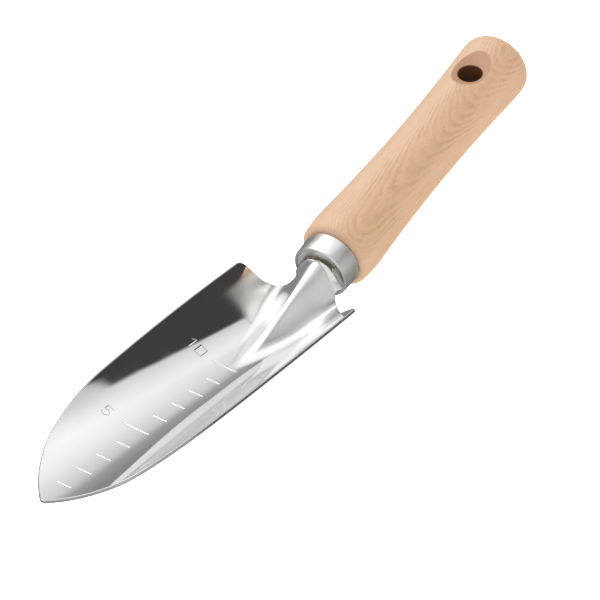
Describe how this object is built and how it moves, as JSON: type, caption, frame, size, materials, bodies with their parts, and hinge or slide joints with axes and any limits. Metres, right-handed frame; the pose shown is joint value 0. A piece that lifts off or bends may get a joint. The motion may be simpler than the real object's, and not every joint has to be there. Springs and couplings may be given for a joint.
{
  "type": "hand trowel",
  "caption": "Hand trowel with a narrow hollow steel blade, stamped depth scale, steel ferrule and a turned wooden handle with a hang hole.",
  "frame": {"origin": "centre of the hang hole, on the handle axis", "axes": "+X along the handle axis away from the blade, +Z out of the hang hole on the side that the blade is hollow, +Y completes the right-handed frame"},
  "size_m": [0.2768, 0.046, 0.0516],
  "materials": {
    "polished_steel": "mirror polished stainless steel",
    "satin_steel": "satin, turned",
    "beech": "sanded, thin clear oil",
    "resin": "cured epoxy resin"
  },
  "bodies": {
    "root": {"blade": "polished_steel", "ferrule": "satin_steel", "handle": "beech", "tang_bedding": "resin"}
  },
  "joints": []
}
